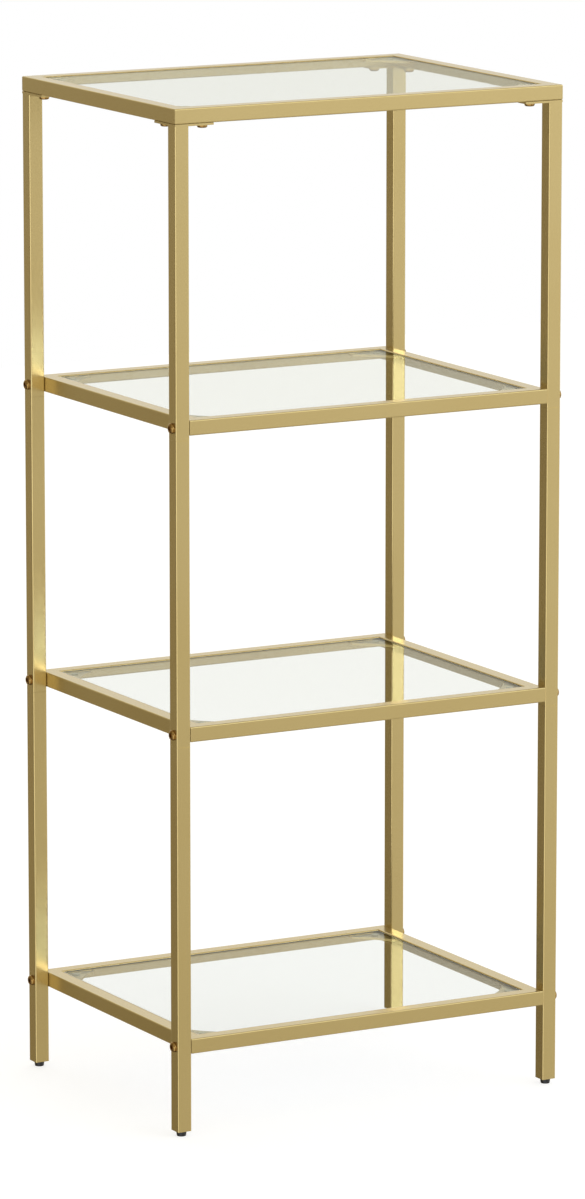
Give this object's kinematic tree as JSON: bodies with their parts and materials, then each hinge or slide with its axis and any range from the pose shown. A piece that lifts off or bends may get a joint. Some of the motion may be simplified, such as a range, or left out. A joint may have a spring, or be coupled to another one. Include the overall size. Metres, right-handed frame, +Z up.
{
  "type": "etagere",
  "caption": "Open etagere with a slim square-tube metal frame in champagne gold, glass shelves let into welded frames, and levelling feet.",
  "frame": {"origin": "on the floor, under the middle of the frame", "axes": "+X to the right along the front, +Y to the back, +Z up along the posts"},
  "size_m": [0.406, 0.3, 0.939],
  "materials": {
    "gold_tube": "satin champagne gold",
    "gold_plate": "satin champagne gold",
    "gold_screw": "polished brass plate",
    "zinc_steel": "zinc plated",
    "clear_glass": "clear, polished edges",
    "clear_pad": "clear silicone",
    "black_plastic": "moulded satin"
  },
  "bodies": {
    "frame": {"post_front_left_lower": "gold_tube", "post_front_left_middle": "gold_tube", "post_front_left_upper": "gold_tube", "top_plate_front_left": "gold_plate", "post_front_right_lower": "gold_tube", "post_front_right_middle": "gold_tube", "post_front_right_upper": "gold_tube", "top_plate_front_right": "gold_plate", "post_back_left_lower": "gold_tube", "post_back_left_middle": "gold_tube", "post_back_left_upper": "gold_tube", "top_plate_back_left": "gold_plate", "post_back_right_lower": "gold_tube", "post_back_right_middle": "gold_tube", "post_back_right_upper": "gold_tube", "top_plate_back_right": "gold_plate", "top_rail_front": "gold_tube", "top_rail_back": "gold_tube", "top_rail_left": "gold_tube", "top_rail_right": "gold_tube", "top_gussets": "gold_plate", "top_glass_pads": "clear_pad", "upper_rail_front": "gold_tube", "upper_rail_back": "gold_tube", "upper_rail_left": "gold_tube", "upper_rail_right": "gold_tube", "upper_gussets": "gold_plate", "upper_glass_pads": "clear_pad", "middle_rail_front": "gold_tube", "middle_rail_back": "gold_tube", "middle_rail_left": "gold_tube", "middle_rail_right": "gold_tube", "middle_gussets": "gold_plate", "middle_glass_pads": "clear_pad", "bottom_rail_front": "gold_tube", "bottom_rail_back": "gold_tube", "bottom_rail_left": "gold_tube", "bottom_rail_right": "gold_tube", "bottom_gussets": "gold_plate", "bottom_glass_pads": "clear_pad", "shelf_screws": "gold_screw", "top_screws": "gold_screw", "shelf_nuts": "zinc_steel", "top_nuts": "zinc_steel", "middle_sleeves": "zinc_steel", "upper_sleeves": "zinc_steel", "foot_plugs": "black_plastic"},
    "top_glass": {"top_glass": "clear_glass"},
    "upper_glass": {"upper_glass": "clear_glass"},
    "middle_glass": {"middle_glass": "clear_glass"},
    "bottom_glass": {"bottom_glass": "clear_glass"},
    "foot_pad_front_left": {"foot_pad_front_left": "black_plastic"},
    "foot_stud_front_left": {"foot_stud_front_left": "zinc_steel"},
    "foot_pad_front_right": {"foot_pad_front_right": "black_plastic"},
    "foot_stud_front_right": {"foot_stud_front_right": "zinc_steel"},
    "foot_pad_back_left": {"foot_pad_back_left": "black_plastic"},
    "foot_stud_back_left": {"foot_stud_back_left": "zinc_steel"},
    "foot_pad_back_right": {"foot_pad_back_right": "black_plastic"},
    "foot_stud_back_right": {"foot_stud_back_right": "zinc_steel"}
  },
  "joints": [
    {"name": "top_glass_lift", "type": "slide", "parent": "frame", "child": "top_glass", "axis": [0, 0, 1], "range_m": [0, 0.05]},
    {"name": "upper_glass_lift", "type": "slide", "parent": "frame", "child": "upper_glass", "axis": [0, 0, 1], "range_m": [0, 0.05]},
    {"name": "middle_glass_lift", "type": "slide", "parent": "frame", "child": "middle_glass", "axis": [0, 0, 1], "range_m": [0, 0.05]},
    {"name": "bottom_glass_lift", "type": "slide", "parent": "frame", "child": "bottom_glass", "axis": [0, 0, 1], "range_m": [0, 0.05]},
    {"name": "foot_front_left_travel", "type": "slide", "parent": "frame", "child": "foot_pad_front_left", "axis": [0, 0, -1], "range_m": [0, 0.008]},
    {"name": "foot_front_left_turn", "type": "hinge", "parent": "foot_pad_front_left", "child": "foot_stud_front_left", "pos_m": [-0.193, -0.143, 0.005], "axis": [0, 0, -1], "range_deg": [0, 2880]},
    {"name": "foot_front_right_travel", "type": "slide", "parent": "frame", "child": "foot_pad_front_right", "axis": [0, 0, -1], "range_m": [0, 0.008]},
    {"name": "foot_front_right_turn", "type": "hinge", "parent": "foot_pad_front_right", "child": "foot_stud_front_right", "pos_m": [0.193, -0.143, 0.005], "axis": [0, 0, -1], "range_deg": [0, 2880]},
    {"name": "foot_back_left_travel", "type": "slide", "parent": "frame", "child": "foot_pad_back_left", "axis": [0, 0, -1], "range_m": [0, 0.008]},
    {"name": "foot_back_left_turn", "type": "hinge", "parent": "foot_pad_back_left", "child": "foot_stud_back_left", "pos_m": [-0.193, 0.143, 0.005], "axis": [0, 0, -1], "range_deg": [0, 2880]},
    {"name": "foot_back_right_travel", "type": "slide", "parent": "frame", "child": "foot_pad_back_right", "axis": [0, 0, -1], "range_m": [0, 0.008]},
    {"name": "foot_back_right_turn", "type": "hinge", "parent": "foot_pad_back_right", "child": "foot_stud_back_right", "pos_m": [0.193, 0.143, 0.005], "axis": [0, 0, -1], "range_deg": [0, 2880]}
  ],
  "couplings": [
    {"joint": "foot_front_left_turn", "follows": "foot_front_left_travel", "rad_per_m": 6283.2},
    {"joint": "foot_front_right_turn", "follows": "foot_front_right_travel", "rad_per_m": 6283.2},
    {"joint": "foot_back_left_turn", "follows": "foot_back_left_travel", "rad_per_m": 6283.2},
    {"joint": "foot_back_right_turn", "follows": "foot_back_right_travel", "rad_per_m": 6283.2}
  ]
}
